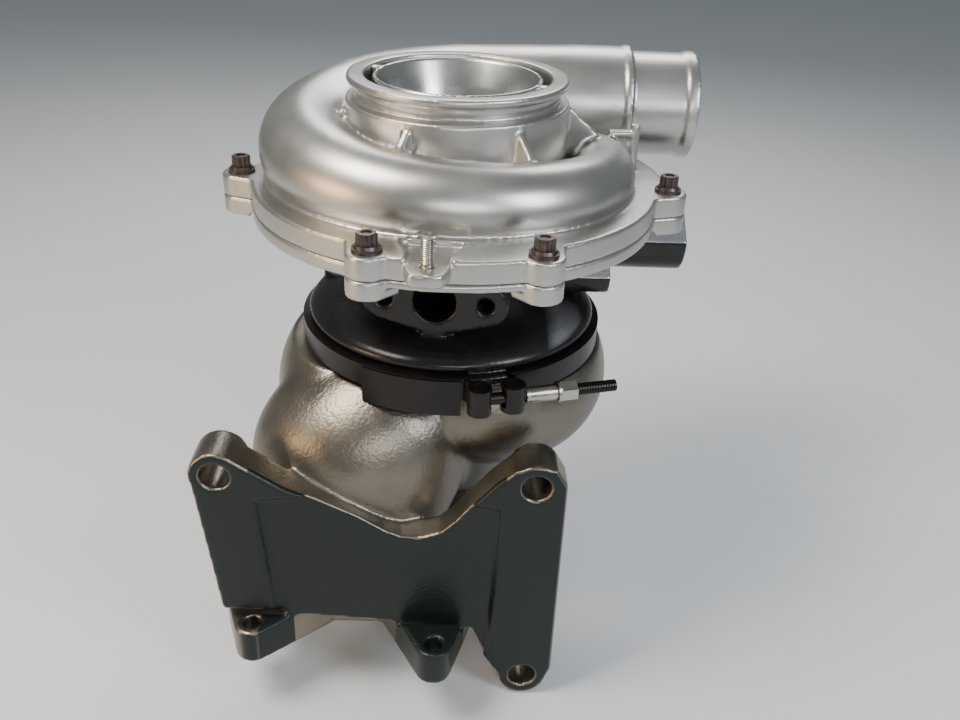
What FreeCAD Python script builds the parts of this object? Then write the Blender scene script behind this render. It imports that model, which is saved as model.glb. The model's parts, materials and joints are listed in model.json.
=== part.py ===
import FreeCAD, Part
import math
import os

# A radial turbocharger, standing on its turbine outlet.
# Millimetres. The rotor axis is Z, the compressor inlet is at the top, and the
# origin is the centre of the turbine outlet's end face. Azimuths are counted in
# degrees from the front (-Y) towards +X.

# ---- driving dimensions ----------------------------------------------------
# compressor inlet
INLET_TOP_Z = 340.5
INLET_FLANGE_R = 59.0
INLET_FLANGE_H = 4.0
INLET_NECK_R = 54.0
INLET_BEAD_R = 55.2
INLET_BORE_R = 49.8
HUB_R = 60.0
HUB_TOP_Z = 328.5
BLEED_FLOOR_Z = 302.0
# cover flange and its bolts
COVER_TOP_Z = 284.3
COVER_BOTTOM_Z = 272.7
COVER_RIM_R = 111.0
FRONT_RIM_R = 121.0
FRONT_SPAN = (-19.6, 20.8)
RIGHT_RIM_R = 118.0
RIGHT_SPAN = (83.1, 124.0)
BOLT_CIRCLE_R = 117.3
LOBE_R = 10.5
BOLT_AZIMUTHS = (-88.2, -19.6, 20.8, 83.1, 238.0)
BOLT_R = 4.0
BOLT_HOLE_R = 4.3
STUD_AZ = -5.4
STUD_REACH = 121.5
STUD_R = 3.0
SHELF_LOW_Z = 275.3
SHELF_TOP_Z = 282.0
BACKPLATE_BOTTOM_Z = 262.7
BACKPLATE_RIM_Z = 265.2
PILOT_R = 80.0
PILOT_TOP_Z = 275.0
DIFFUSER_ROOF_Z = 280.5
DOWEL_RING_R = 104.0
DOWEL_AZ = 50.0
DOWEL_R = 2.5
DOWEL_LOW_Z = 268.0
DOWEL_HIGH_Z = 278.7
SEAL_OUTER_R = 84.3
SEAL_INNER_R = 82.2
SEAL_LOW_Z = 270.8
# socket screws between the backplate and the bearing housing
SCREW_RING_R = 36.0
SCREW_AZIMUTHS = (30, 120, 210, 300)
SCREW_R = 3.0
SCREW_HEAD_R = 5.0
SCREW_SEAT_Z = 270.5
# compressor scroll: azimuth, ring radius, centre height, section radius
SCROLL = (
    (134, 79.0, 288.0, 9.0),
    (118, 81.0, 289.0, 12.5),
    (100, 82.0, 290.5, 15.5),
    (70, 81.0, 291.8, 17.8),
    (35, 78.0, 293.5, 19.8),
    (0, 75.5, 295.0, 21.0),
    (-35, 77.0, 297.0, 22.8),
    (-65, 79.0, 299.5, 25.0),
    (-95, 80.5, 301.5, 27.0),
    (-130, 83.0, 303.5, 29.2),
    (-160, 87.5, 305.0, 30.8),
    (-180, 93.0, 305.5, 31.6),
)
SCROLL_WALL = 4.0
OUTLET_Y = 95.0
OUTLET_Z = 305.0
OUTLET_R = 31.75
OUTLET_END_X = 147.0
OUTLET_BORE_R = 28.8
OUTLET_SHOULDER_X = 104.0
OUTLET_LIP_R = 32.9
OUTLET_LIP_W = 6.5
# bearing housing
JOINT_Z = 198.0
V_FLANGE_R = 84.0
HEAD_FLANGE_R = 62.0
HEAD_FLANGE_Z = 254.0
CORE_R = 42.0
SHAFT_R = 7.0
RUNNING_GAP = 0.05
BEARING_R = 10.5
OIL_FILM_GAP = 0.06
DRAIN_AZ = -8.0
DRAIN_REACH = 66.0
DRAIN_Z = 237.0
DRAIN_HOLE_R = 11.2
DRAIN_BOLT_OFFSET = 27.0
DRAIN_BOLT_R = 4.25
DRAIN_MID_R = 19.5
DRAIN_END_R = 12.0
FEED_HOLE_R = 6.0
FEED_BOLT_OFFSET = 19.0
PORT_Y = 40.0
PORT_Z = 240.0
PORT_R = 22.5
PORT_END_X = 140.0
PORT_HOLE_R = 12.0
SMALL_PORT_Y = -17.0
SMALL_PORT_Z = 237.5
SMALL_PORT_R = 12.5
SMALL_PORT_END_X = 88.0
SMALL_PORT_HOLE_R = 6.0
LUG_RING_R = 70.0
LUG_AZ = -107.0
LUG_R = 11.0
LUG_HOLE_R = 3.4
# wheels
COMPRESSOR_TIP_R = 46.5
COMPRESSOR_EYE_R = 33.0
COMPRESSOR_BACK_Z = 275.6
COMPRESSOR_NOSE_Z = 312.0
COMPRESSOR_BLADES = 7
TURBINE_TIP_R = 41.0
TURBINE_EXIT_R = 36.0
TURBINE_BACK_Z = 176.0
TURBINE_EXIT_Z = 130.0
TURBINE_BLADES = 11
SHROUD_GAP = 0.4
# turbine housing: azimuth, ring radius, centre height, section radius
TURBINE_SCROLL = (
    (-40, 52.0, 150.0, 38.0),
    (-62, 54.0, 156.0, 50.0),
    (-95, 54.0, 160.0, 49.0),
    (-130, 53.0, 163.0, 47.0),
    (-180, 52.0, 165.0, 46.0),
    (-225, 51.0, 166.5, 45.5),
    (-270, 50.0, 167.0, 45.0),
    (-305, 49.0, 167.5, 43.5),
    (-335, 46.0, 168.0, 40.0),
    (-352, 44.0, 168.0, 36.0),
    (-372, 40.0, 167.0, 29.0),
)
TURBINE_WALL = 5.0
OUTLET_PIPE_R = 46.0
OUTLET_PIPE_BORE_R = 40.0
EXHAUST_LIP_R = 52.0
EXHAUST_LIP_H = 7.0
# gas inlet leg: height, centre x, centre y, half width, half depth
LEG = (
    (188.0, -36.0, -34.0, 36.0, 34.0),
    (172.0, -42.0, -42.0, 53.0, 43.0),
    (146.0, -49.0, -50.0, 62.5, 47.0),
    (118.0, -51.5, -58.0, 59.5, 40.0),
    (88.0, -55.0, -68.0, 47.0, 31.0),
    (56.0, -57.0, -70.0, 38.0, 27.0),
)
GAS_FLANGE_TOP_Z = 57.0
GAS_FLANGE_BOTTOM_Z = 35.0
GAS_EAR_R = 10.2
GAS_HOLE_R = 5.0
GAS_HOLE_LEFT = (-108.0, -112.5)
GAS_HOLE_RIGHT = (-5.0, -126.5)
GAS_HOLE_REAR = (-104.0, -28.0)
GAS_PORT_X = -57.0
GAS_PORT_Y = -70.0
# mounting plate
PLATE_FACE_Y = -110.0
PLATE_BACK_Y = -90.0
PLATE_HOLE_R = 7.75
PLATE_HOLE_LEFT = (-121.0, 154.4)
PLATE_HOLE_RIGHT = (47.5, 151.5)
PLATE_HOLE_LOW = (47.5, 14.5)
PLATE_LUG_R = 14.0
PLATE_LUG_BACK_Y = -85.0
PLATE_RECESS = 3.2
# clamp
BAND_R = 86.0
BAND_LOW_Z = 191.0
BAND_HIGH_Z = 204.4
STRAP_T = 1.2
SADDLE_LOW_Z = 182.5
SADDLE_HIGH_Z = 203.0
SADDLE_AZ = -14.0
LOOP_LOW_Z = 190.4
LOOP_HIGH_Z = 205.2
T_BOLT_Z = 197.6
CLAMP_SPACE_Z = 189.0
T_BOLT_R = 3.175
LOOP_R = 6.4
LOOP_BORE_R = 5.2
LEFT_LOOP = (15.6, -96.7)
T_BOLT_DIRECTION = (0.966, 0.259)
LOOP_SPACING = 18.0
T_BOLT_LENGTH = 75.0

VEC = FreeCAD.Vector
UP = VEC(0, 0, 1)


# ---- small helpers ---------------------------------------------------------
def polar(radius, azimuth, z=0.0):
    """Point at a radius and an azimuth counted from the front towards +X."""
    angle = math.radians(azimuth)
    return VEC(radius * math.sin(angle), -radius * math.cos(angle), z)


def cylinder(radius, low, high, x=0.0, y=0.0):
    return Part.makeCylinder(radius, high - low, VEC(x, y, low))


def rod(radius, start, end):
    """Cylinder between any two points."""
    return Part.makeCylinder(radius, (end - start).Length, start, end - start)


def ring(outer, inner, low, high):
    return cylinder(outer, low, high).cut(cylinder(inner, low - 1, high + 1))


def box(low, high):
    size = VEC(*high) - VEC(*low)
    return Part.makeBox(size.x, size.y, size.z, VEC(*low))


def revolve(profile):
    """Solid of revolution about Z from a closed outline of (radius, z) points."""
    points = [VEC(r, 0, z) for r, z in profile]
    points.append(points[0])
    face = Part.Face(Part.makePolygon(points))
    return face.revolve(VEC(0, 0, 0), UP, 360)


def prism(outline, low, high):
    """Straight prism from a closed outline of (x, y) points."""
    points = [VEC(x, y, low) for x, y in outline]
    points.append(points[0])
    return Part.Face(Part.makePolygon(points)).extrude(VEC(0, 0, high - low))


def plate_prism(outline, front, back):
    """Prism along Y from a closed outline of (x, z) points."""
    points = [VEC(x, front, z) for x, z in outline]
    points.append(points[0])
    return Part.Face(Part.makePolygon(points)).extrude(VEC(0, back - front, 0))


def turned(shape, azimuth):
    """Copy of a shape built at the front, turned to another azimuth."""
    copy = shape.copy()
    copy.rotate(VEC(0, 0, 0), UP, azimuth)
    return copy


def fused(shapes):
    result = shapes[0].multiFuse(list(shapes[1:]))
    return result.removeSplitter()


def sector(outer, inner, low, high, start, end):
    """Part of a ring between two azimuths."""
    blank = Part.makeCylinder(outer, high - low, VEC(0, 0, low), UP, end - start)
    blank.rotate(VEC(0, 0, 0), UP, start - 90)
    return blank.cut(cylinder(inner, low - 1, high + 1))


def circle_wire(centre, normal, radius):
    return Part.Wire(Part.makeCircle(radius, centre, normal))


def scroll_wires(table, shrink):
    """Circular sections of a scroll, each in the plane through the rotor axis."""
    wires = []
    for azimuth, ring_r, height, radius in table:
        angle = math.radians(azimuth)
        tangent = VEC(math.cos(angle), math.sin(angle), 0)
        wires.append(circle_wire(polar(ring_r, azimuth, height), tangent, radius - shrink))
    return wires


def hexagon(across_flats, low, high):
    points = []
    for step in range(6):
        angle = math.radians(60 * step)
        radius = across_flats / math.sqrt(3)
        points.append((radius * math.cos(angle), radius * math.sin(angle)))
    return prism(points, low, high)


# ---- compressor side -------------------------------------------------------
def lobed_disc(low, high):
    """Round plate with a lobe for each cover bolt."""
    parts = [cylinder(COVER_RIM_R, low, high)]
    parts.append(sector(RIGHT_RIM_R, 100, low, high, *RIGHT_SPAN))
    web = prism(((-17, -104), (17, -104), (9.0, -122.5), (-9.0, -122.5)), low, high)
    for azimuth in BOLT_AZIMUTHS:
        centre = polar(BOLT_CIRCLE_R, azimuth)
        parts.append(cylinder(LOBE_R, low, high, centre.x, centre.y))
        parts.append(turned(web, azimuth))
    return fused(parts)


def bolt_holes(low, high, radius):
    holes = []
    for azimuth in BOLT_AZIMUTHS:
        centre = polar(BOLT_CIRCLE_R, azimuth)
        holes.append(cylinder(radius, low, high, centre.x, centre.y))
    return holes


def scroll_solid(shrink):
    """Compressor scroll and outlet pipe as one swept volume."""
    scroll = Part.makeLoft(scroll_wires(SCROLL, shrink), True)
    along = VEC(1, 0, 0)
    last_r = SCROLL[-1][3]
    pipe_r = OUTLET_R + 2.2
    if shrink:
        pipe_r = OUTLET_BORE_R - 0.8
    stations = (
        (0.0, SCROLL[-1][1], SCROLL[-1][2], last_r - shrink),
        (35.0, OUTLET_Y, OUTLET_Z, (last_r - shrink + pipe_r) / 2),
        (70.0, OUTLET_Y, OUTLET_Z, pipe_r),
        (OUTLET_SHOULDER_X, OUTLET_Y, OUTLET_Z, pipe_r),
    )
    wires = [circle_wire(VEC(x, y, z), along, r) for x, y, z, r in stations]
    pipe = Part.makeLoft(wires, True)
    return [scroll, pipe]


def outlet_spigot():
    """Hose end of the outlet: turned tube with a lip at its end and a shoulder ring."""
    start = VEC(OUTLET_SHOULDER_X - 2, OUTLET_Y, OUTLET_Z)
    end = VEC(OUTLET_END_X, OUTLET_Y, OUTLET_Z)
    tube = rod(OUTLET_R, start, end)
    lip = rod(OUTLET_LIP_R, end - VEC(OUTLET_LIP_W, 0, 0), end)
    shoulder = rod(OUTLET_R + 3.4, start, start + VEC(4, 0, 0))
    return [tube, lip, shoulder]


def gusset(azimuth):
    """Thin triangular web between the inlet hub and the scroll."""
    half = 2.1
    outline = ((56, 324), (61, 324), (85, 303), (85, 290), (56, 290))
    points = [VEC(-half, -r, z) for r, z in outline]
    points.append(points[0])
    web = Part.Face(Part.makePolygon(points)).extrude(VEC(2 * half, 0, 0))
    return turned(web, azimuth)


def stud_shelf():
    """Small shelf on the cover flange that carries a stud, with a raised rim behind."""
    shelf = prism(((-14, -100), (14, -100), (9.5, -126), (8.2, -131), (5.5, -132.5),
                   (-5.5, -132.5), (-8.2, -131), (-9.5, -126)), SHELF_LOW_Z, SHELF_TOP_Z)
    rim = prism(((-17, -96.5), (17, -96.5), (17, -102), (12.8, -112), (12.5, -119),
                 (-12.5, -119), (-12.8, -112), (-17, -102)), SHELF_TOP_Z, COVER_TOP_Z + 0.9)
    return [turned(piece, STUD_AZ) for piece in (shelf, rim)]


def stud_pocket():
    """Shallow pocket in the cover flange, level with the stud's shelf."""
    pocket = prism(((-14.5, -98.5), (14.5, -98.5), (14.5, -101.5), (10.6, -111), (10.4, -134),
                    (-10.4, -134), (-10.6, -111), (-14.5, -101.5)), SHELF_TOP_Z, 287)
    return turned(pocket, STUD_AZ)


def tongue_bracket():
    """Small upright ear between the scroll's narrow end and the outlet."""
    plate = box((87, 21, 286), (101, 23.5, 306))
    frame = [box((87, 19.5, 286), (90, 25, 307)), box((87, 19.5, 303.8), (101, 25, 307))]
    post = cylinder(2.9, COVER_TOP_Z - 2, 311, 101.5, 22.3)
    return [plate, post] + frame


def wheel_cavity():
    """Space for the compressor wheel, from the diffuser up to the eye."""
    tip = COMPRESSOR_TIP_R + SHROUD_GAP
    eye = COMPRESSOR_EYE_R + SHROUD_GAP
    profile = (
        (0, PILOT_TOP_Z - 5), (PILOT_R + RUNNING_GAP, PILOT_TOP_Z - 5),
        (PILOT_R + RUNNING_GAP, DIFFUSER_ROOF_Z), (tip, DIFFUSER_ROOF_Z),
        (43.4, 284.0), (38.5, 289.0), (35.0, 295.0), (eye, 301.0),
        (eye, BLEED_FLOOR_Z + 1), (0, BLEED_FLOOR_Z + 1),
    )
    return revolve(profile)


def compressor_housing():
    scroll, pipe = scroll_solid(0.0)
    solids = [lobed_disc(COVER_BOTTOM_Z, COVER_TOP_Z), scroll, pipe]
    solids.append(sector(FRONT_RIM_R, 100, COVER_BOTTOM_Z, COVER_TOP_Z, *FRONT_SPAN))
    solids.append(cylinder(HUB_R, COVER_BOTTOM_Z + 5, HUB_TOP_Z))
    solids.append(cylinder(INLET_NECK_R, HUB_TOP_Z - 1, INLET_TOP_Z - 2))
    solids.append(cylinder(INLET_BEAD_R, HUB_TOP_Z + 4, HUB_TOP_Z + 6))
    solids.append(cylinder(INLET_FLANGE_R, INLET_TOP_Z - INLET_FLANGE_H, INLET_TOP_Z))
    for azimuth in (-78, -24, 31.5, 97, 152, 206):
        solids.append(gusset(azimuth))
    solids += outlet_spigot() + stud_shelf() + tongue_bracket()
    body = fused(solids)
    scroll_bore, pipe_bore = scroll_solid(SCROLL_WALL)
    end = VEC(OUTLET_END_X + 1, OUTLET_Y, OUTLET_Z)
    tools = [scroll_bore, pipe_bore]
    tools.append(rod(OUTLET_BORE_R, VEC(OUTLET_SHOULDER_X - 3, OUTLET_Y, OUTLET_Z), end))
    tools.append(wheel_cavity())
    tools.append(cylinder(INLET_BORE_R, BLEED_FLOOR_Z, INLET_TOP_Z + 1))
    tools += bolt_holes(COVER_BOTTOM_Z - 1, COVER_TOP_Z + 1, BOLT_HOLE_R)
    tools.append(stud_pocket())
    stud = polar(STUD_REACH, STUD_AZ)
    tools.append(cylinder(STUD_R, 270, 290, stud.x, stud.y))
    dowel = polar(DOWEL_RING_R, DOWEL_AZ)
    tools.append(cylinder(DOWEL_R, COVER_BOTTOM_Z - 1, DOWEL_HIGH_Z, dowel.x, dowel.y))
    # the flat underside of the cover, which closes on the backplate
    tools.append(cylinder(160, 240, COVER_BOTTOM_Z))
    return body.cut(tools)


def inlet_shroud_ring():
    """Bell-mouthed ring in the inlet, held by three ribs; air bleeds round it."""
    eye = COMPRESSOR_EYE_R + SHROUD_GAP
    lip = INLET_TOP_Z - 0.8
    profile = (
        (eye, 305.0), (38.0, 305.0), (42.0, 312.0), (45.4, 322.0), (45.4, lip - 2.0),
        (44.9, lip - 0.6), (44.0, lip), (43.1, lip - 0.6), (42.0, lip - 3.0),
        (39.5, lip - 8.5), (36.8, lip - 14.5), (34.6, lip - 20.5), (eye, lip - 26.0),
    )
    solids = [revolve(profile)]
    rib = box((-2.3, -INLET_BORE_R, 309), (2.3, -42.5, lip - 0.2))
    keep = cylinder(INLET_BORE_R, 300, 345)
    for azimuth in (4, 69, -111):
        solids.append(turned(rib, azimuth).common(keep))
    # the ribs are trimmed to the bell's throat
    core = revolve(((0, 300), (eye, 300), (eye, lip - 26), (34.6, lip - 20.5),
                    (36.8, lip - 14.5), (39.5, lip - 8.5), (42.0, lip - 3.0), (43.1, lip),
                    (43.1, lip + 5), (0, lip + 5)))
    return fused(solids).cut(core)


def compressor_backplate():
    plate = lobed_disc(BACKPLATE_BOTTOM_Z, COVER_BOTTOM_Z)
    front = sector(FRONT_RIM_R, 100, COVER_BOTTOM_Z - 4.2, COVER_BOTTOM_Z, *FRONT_SPAN)
    pilot = cylinder(PILOT_R, COVER_BOTTOM_Z - 1, PILOT_TOP_Z)
    body = fused([plate, front, pilot])
    rim_step = ring(112.5, 96, BACKPLATE_BOTTOM_Z - 1, BACKPLATE_RIM_Z)
    keep = [cylinder(LOBE_R, 260, 275, *list(polar(BOLT_CIRCLE_R, a))[:2])
            for a in BOLT_AZIMUTHS]
    body = body.cut(rim_step.cut(keep))
    tools = [cylinder(13.5, 255, 300)]
    tools += bolt_holes(255, 275, BOLT_R)
    for azimuth in SCREW_AZIMUTHS:
        spot = polar(SCREW_RING_R, azimuth)
        tools.append(cylinder(SCREW_R + 0.3, 255, 280, spot.x, spot.y))
        tools.append(cylinder(SCREW_HEAD_R + 0.6, SCREW_SEAT_Z, 280, spot.x, spot.y))
    dowel = polar(DOWEL_RING_R, DOWEL_AZ)
    tools.append(cylinder(DOWEL_R, DOWEL_LOW_Z, COVER_BOTTOM_Z + 1, dowel.x, dowel.y))
    tools.append(ring(SEAL_OUTER_R + 0.2, SEAL_INNER_R - 0.2, SEAL_LOW_Z, COVER_BOTTOM_Z + 1))
    tools.append(cylinder(47.2, COMPRESSOR_BACK_Z - 1.4, 290))
    return body.cut(tools)


def backplate_seal():
    """Rubber ring in the groove between the backplate and the cover."""
    return ring(SEAL_OUTER_R, SEAL_INNER_R, SEAL_LOW_Z, COVER_BOTTOM_Z)


def dowel_pin():
    spot = polar(DOWEL_RING_R, DOWEL_AZ)
    return cylinder(DOWEL_R, DOWEL_LOW_Z, DOWEL_HIGH_Z, spot.x, spot.y)


def twelve_point_bolt():
    """Flanged bolt with a twelve-point head, its seat at z = 0."""
    core = cylinder(4.35, 0, 7.2)
    points = []
    for step in range(24):
        radius = 5.1 if step % 2 == 0 else 4.25
        angle = math.radians(15 * step)
        points.append((radius * math.cos(angle), radius * math.sin(angle)))
    head = prism(points, 1.0, 6.8)
    flange = Part.makeCone(6.3, 5.6, 1.6)
    shank = cylinder(BOLT_R, -24.0, 0.5)
    dish = cylinder(2.6, 6.4, 8)
    return fused([core, head, flange, shank]).cut(dish)


def cover_bolts():
    bolts = []
    for azimuth in BOLT_AZIMUTHS:
        bolt = twelve_point_bolt()
        bolt.translate(polar(BOLT_CIRCLE_R, azimuth, COVER_TOP_Z + 1.8))
        bolts.append(bolt)
    return Part.makeCompound(bolts)


def cover_washers():
    washers = []
    for azimuth in BOLT_AZIMUTHS:
        washer = ring(7.2, BOLT_HOLE_R, 0, 1.8)
        washer.translate(polar(BOLT_CIRCLE_R, azimuth, COVER_TOP_Z))
        washers.append(washer)
    return Part.makeCompound(washers)


def threaded_rod(radius, low, high, pitch):
    """Rod with ring grooves standing in for its thread."""
    profile = [(0, low), (radius - 0.35 * pitch, low)]
    z = low
    while z + pitch <= high:
        profile.append((radius, z + pitch * 0.45))
        profile.append((radius, z + pitch * 0.55))
        profile.append((radius - 0.5 * pitch, z + pitch))
        z += pitch
    profile.append((radius - 0.5 * pitch, high))
    profile.append((0, high))
    return revolve(profile)


def tab_stud():
    shank = cylinder(STUD_R, SHELF_LOW_Z + 0.5, SHELF_TOP_Z + 1.5)
    stud = fused([shank, threaded_rod(STUD_R, SHELF_TOP_Z + 1.5, SHELF_TOP_Z + 13.5, 1.0)])
    stud.translate(polar(STUD_REACH, STUD_AZ))
    return stud


# ---- bearing housing -------------------------------------------------------
def drain_pad():
    """Flat pad for the oil drain pipe, facing the front, with a boss round each hole."""
    front = -DRAIN_REACH
    back = front + 14
    bosses = []
    for x, radius in ((-DRAIN_BOLT_OFFSET, DRAIN_END_R), (0, DRAIN_MID_R),
                      (DRAIN_BOLT_OFFSET, DRAIN_END_R)):
        bosses.append(rod(radius, VEC(x, front, DRAIN_Z), VEC(x, back, DRAIN_Z)))
    # flanks tangent to the three bosses
    lean = (DRAIN_MID_R - DRAIN_END_R) / DRAIN_BOLT_OFFSET
    rise = math.sqrt(1 - lean * lean)
    inner = (DRAIN_MID_R * lean, DRAIN_MID_R * rise)
    outer = (DRAIN_BOLT_OFFSET + DRAIN_END_R * lean, DRAIN_END_R * rise)
    upper = [(-outer[0], outer[1]), (-inner[0], inner[1]), inner, outer]
    outline = [(x, DRAIN_Z + z) for x, z in upper]
    outline += [(x, DRAIN_Z - z) for x, z in reversed(upper)]
    flanks = plate_prism(outline, front, back)
    neck = plate_prism(((-30, 252), (30, 252), (30, 228), (14, 222), (-14, 222), (-30, 228)),
                       back - 2, -20)
    return [turned(piece, DRAIN_AZ) for piece in bosses + [flanks, neck]]


def side_port(y, z, radius, end_x, facet):
    """Round boss pointing along +X with a flat facet along its upper front."""
    boss = rod(radius, VEC(25, y, z), VEC(end_x, y, z))
    trim = box((0, -80, facet), (200, 80, facet + 80))
    trim.rotate(VEC(0, 0, 0), VEC(1, 0, 0), 36.9)
    trim.translate(VEC(0, y, z))
    return boss.cut(trim)


def bearing_housing():
    floor = JOINT_Z - 8.0
    shell = revolve((
        (11.5, floor), (30, floor), (36, 197.0), (62, 197.0), (62, JOINT_Z + 0.1),
        (V_FLANGE_R, JOINT_Z + 0.1), (V_FLANGE_R, 201.4), (79.5, 203.2), (79.5, 204.6),
        (82.6, 205.6), (83.6, 207.4), (83.0, 209.6), (80.6, 212.0), (76.6, 214.1), (71.0, 215.8),
        (64.0, 217.2), (57.0, 219.2), (51.5, 222.4), (47.0, 227.5), (CORE_R + 1.5, 234.0),
        (CORE_R, 242.0), (CORE_R, 250.0),
        (HEAD_FLANGE_R - 2, HEAD_FLANGE_Z), (HEAD_FLANGE_R, HEAD_FLANGE_Z + 1),
        (HEAD_FLANGE_R, BACKPLATE_BOTTOM_Z), (11.5, BACKPLATE_BOTTOM_Z),
    ))
    solids = [shell] + drain_pad()
    solids.append(side_port(PORT_Y, PORT_Z, PORT_R, PORT_END_X, 15.0))
    solids.append(side_port(SMALL_PORT_Y, SMALL_PORT_Z, SMALL_PORT_R, SMALL_PORT_END_X, 8.0))
    solids.append(box((-26, 20, 224), (26, 60, 252)))
    # small drilled lug at the left edge of the dome
    lug = polar(LUG_RING_R, LUG_AZ)
    solids.append(cylinder(LUG_R, 205, 217, lug.x, lug.y))
    solids.append(box((-60, -12, 222), (-20, 22, 252)))
    body = fused(solids)
    body = body.common(cylinder(170, floor - 1, BACKPLATE_BOTTOM_Z))
    bore = revolve((
        (0, floor - 1), (11.0, floor - 1), (11.0, 200.5), (9.0, 200.5), (9.0, 203.0),
        (BEARING_R + OIL_FILM_GAP, 203.0), (BEARING_R + OIL_FILM_GAP, 218.0), (9.0, 218.0),
        (9.0, 219.5), (13.0, 221.0), (13.0, 231.0), (9.0, 232.5), (9.0, 234.0),
        (BEARING_R + OIL_FILM_GAP, 234.0), (BEARING_R + OIL_FILM_GAP, 249.0),
        (16.0, 249.0), (16.0, 251.0), (26.05, 251.0), (26.05, 270), (0, 270),
    ))
    # oil gallery round the bearings, open to the drain at the front
    gallery = revolve(((20, 208), (31, 208), (33, 213), (33, 243), (30, 247), (20, 247)))
    tools = [bore, gallery]
    front = turned(rod(DRAIN_HOLE_R, VEC(0, -80, DRAIN_Z), VEC(0, -25, DRAIN_Z)), DRAIN_AZ)
    tools.append(front)
    for side in (-1, 1):
        spot = side * DRAIN_BOLT_OFFSET
        hole = rod(DRAIN_BOLT_R, VEC(spot, -80, DRAIN_Z), VEC(spot, -DRAIN_REACH + 18, DRAIN_Z))
        mouth = Part.makeCone(DRAIN_BOLT_R + 1.2, DRAIN_BOLT_R, 1.2,
                              VEC(spot, -DRAIN_REACH - 0.01, DRAIN_Z), VEC(0, 1, 0))
        tools += [turned(hole, DRAIN_AZ), turned(mouth, DRAIN_AZ)]
        feed = rod(3.3, VEC(side * FEED_BOLT_OFFSET, 61, DRAIN_Z),
                   VEC(side * FEED_BOLT_OFFSET, 45, DRAIN_Z))
        tools.append(feed)
    tools.append(rod(FEED_HOLE_R, VEC(0, 61, DRAIN_Z), VEC(0, 50, DRAIN_Z)))
    tools.append(rod(2.5, VEC(0, 55, DRAIN_Z), VEC(0, 12, 226)))
    tools.append(rod(PORT_HOLE_R, VEC(70, PORT_Y, PORT_Z), VEC(150, PORT_Y, PORT_Z)))
    tools.append(rod(SMALL_PORT_HOLE_R, VEC(60, SMALL_PORT_Y, SMALL_PORT_Z),
                     VEC(99, SMALL_PORT_Y, SMALL_PORT_Z)))
    tools.append(cylinder(LUG_HOLE_R, 200, 220, lug.x, lug.y))
    for azimuth in SCREW_AZIMUTHS:
        spot = polar(SCREW_RING_R, azimuth)
        tools.append(cylinder(SCREW_R, 248, 270, spot.x, spot.y))
    return body.cut(tools)


def backplate_bolts():
    """Socket screws that hold the backplate to the bearing housing."""
    bolts = []
    for azimuth in SCREW_AZIMUTHS:
        head = cylinder(SCREW_HEAD_R, SCREW_SEAT_Z, SCREW_SEAT_Z + 3.5)
        head = head.cut(hexagon(5.0, SCREW_SEAT_Z + 1.5, SCREW_SEAT_Z + 5))
        bolt = fused([head, cylinder(SCREW_R, 250, SCREW_SEAT_Z + 0.5)])
        bolt.translate(polar(SCREW_RING_R, azimuth))
        bolts.append(bolt)
    return Part.makeCompound(bolts)


def journal_bearing(low):
    """Full-floating bronze bush with its oil holes."""
    bush = ring(BEARING_R, SHAFT_R + RUNNING_GAP, low, low + 12.0)
    holes = []
    for azimuth in range(0, 180, 60):
        arm = polar(20, azimuth, low + 6.0)
        holes.append(rod(1.2, arm, VEC(-arm.x, -arm.y, arm.z)))
    groove = ring(BEARING_R + 1, BEARING_R - 0.6, low + 5.0, low + 7.0)
    return bush.cut(holes + [groove])


def retaining_rings():
    """Open snap rings that keep each journal bearing in its bore."""
    rings = []
    for low in (203.1, 216.9, 234.1, 247.9):
        snap = ring(BEARING_R, 8.2, low, low + 1.0)
        rings.append(snap.cut(box((-1.5, -14, low - 1), (1.5, 0, low + 2))))
    return Part.makeCompound(rings)


def thrust_bearing():
    """Bronze plate with oil pads between the two faces of the thrust collar."""
    plate = ring(26.0, 10.2, 253.5, 257.5)
    notch = box((-6, -30, 250), (6, -19, 260))
    ramps = []
    for azimuth in range(0, 360, 60):
        ramps.append(turned(box((-1.0, -16, 257.1), (1.0, -10, 258)), azimuth))
    return plate.cut([notch] + ramps)


def thrust_collar():
    """Hardened spool on the shaft that runs against the thrust bearing."""
    return revolve((
        (SHAFT_R - 1.5, 250.2), (14.0, 250.2), (14.0, 253.44), (10.1, 253.44),
        (10.1, 257.56), (SHAFT_R - 1.5, 257.56),
    ))


def oil_deflector():
    """Dished sheet plate that turns the oil away from the seal."""
    return revolve(((16.2, 257.6), (26.0, 257.6), (26.0, 258.8), (17.2, 258.8),
                    (15.4, 260.6), (14.6, 259.8)))


def oil_slinger():
    """Sleeve with a flinger disc, which carries the compressor-side seal ring."""
    return revolve((
        (SHAFT_R - 1.5, 257.56), (14.0, 257.56), (14.0, 259.4), (12.0, 261.0), (12.0, 265.0),
        (10.9, 265.0), (10.9, 266.7), (12.0, 266.7), (12.0, COMPRESSOR_BACK_Z),
        (SHAFT_R - 1.5, COMPRESSOR_BACK_Z),
    ))


def seal_bush():
    """Steel sleeve pressed in the backplate, the bore of the compressor seal."""
    return revolve(((12.6, 262.9), (13.5, 262.9), (13.5, 273.9), (12.6, 273.9)))


def compressor_piston_ring():
    full = ring(12.58, 11.2, 265.1, 266.6)
    return full.cut(box((-0.4, -14, 264), (0.4, 0, 268)))


def turbine_piston_ring():
    full = ring(10.98, 9.3, 193.1, 194.9)
    return full.cut(box((-0.4, -14, 192), (0.4, 0, 196)))


# ---- rotor -----------------------------------------------------------------
def blade(stations, thickness):
    """Twisted blade lofted through level sections: z, inner r, outer r, turn."""
    wires = []
    for z, inner, outer, turn in stations:
        half = thickness / 2
        corners = [VEC(-half, -inner, z), VEC(half, -inner, z),
                   VEC(half * 0.6, -outer, z), VEC(-half * 0.6, -outer, z)]
        wire = Part.makePolygon(corners + corners[:1])
        wire.rotate(VEC(0, 0, 0), UP, turn)
        wires.append(wire)
    return Part.makeLoft(wires, True)


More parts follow.
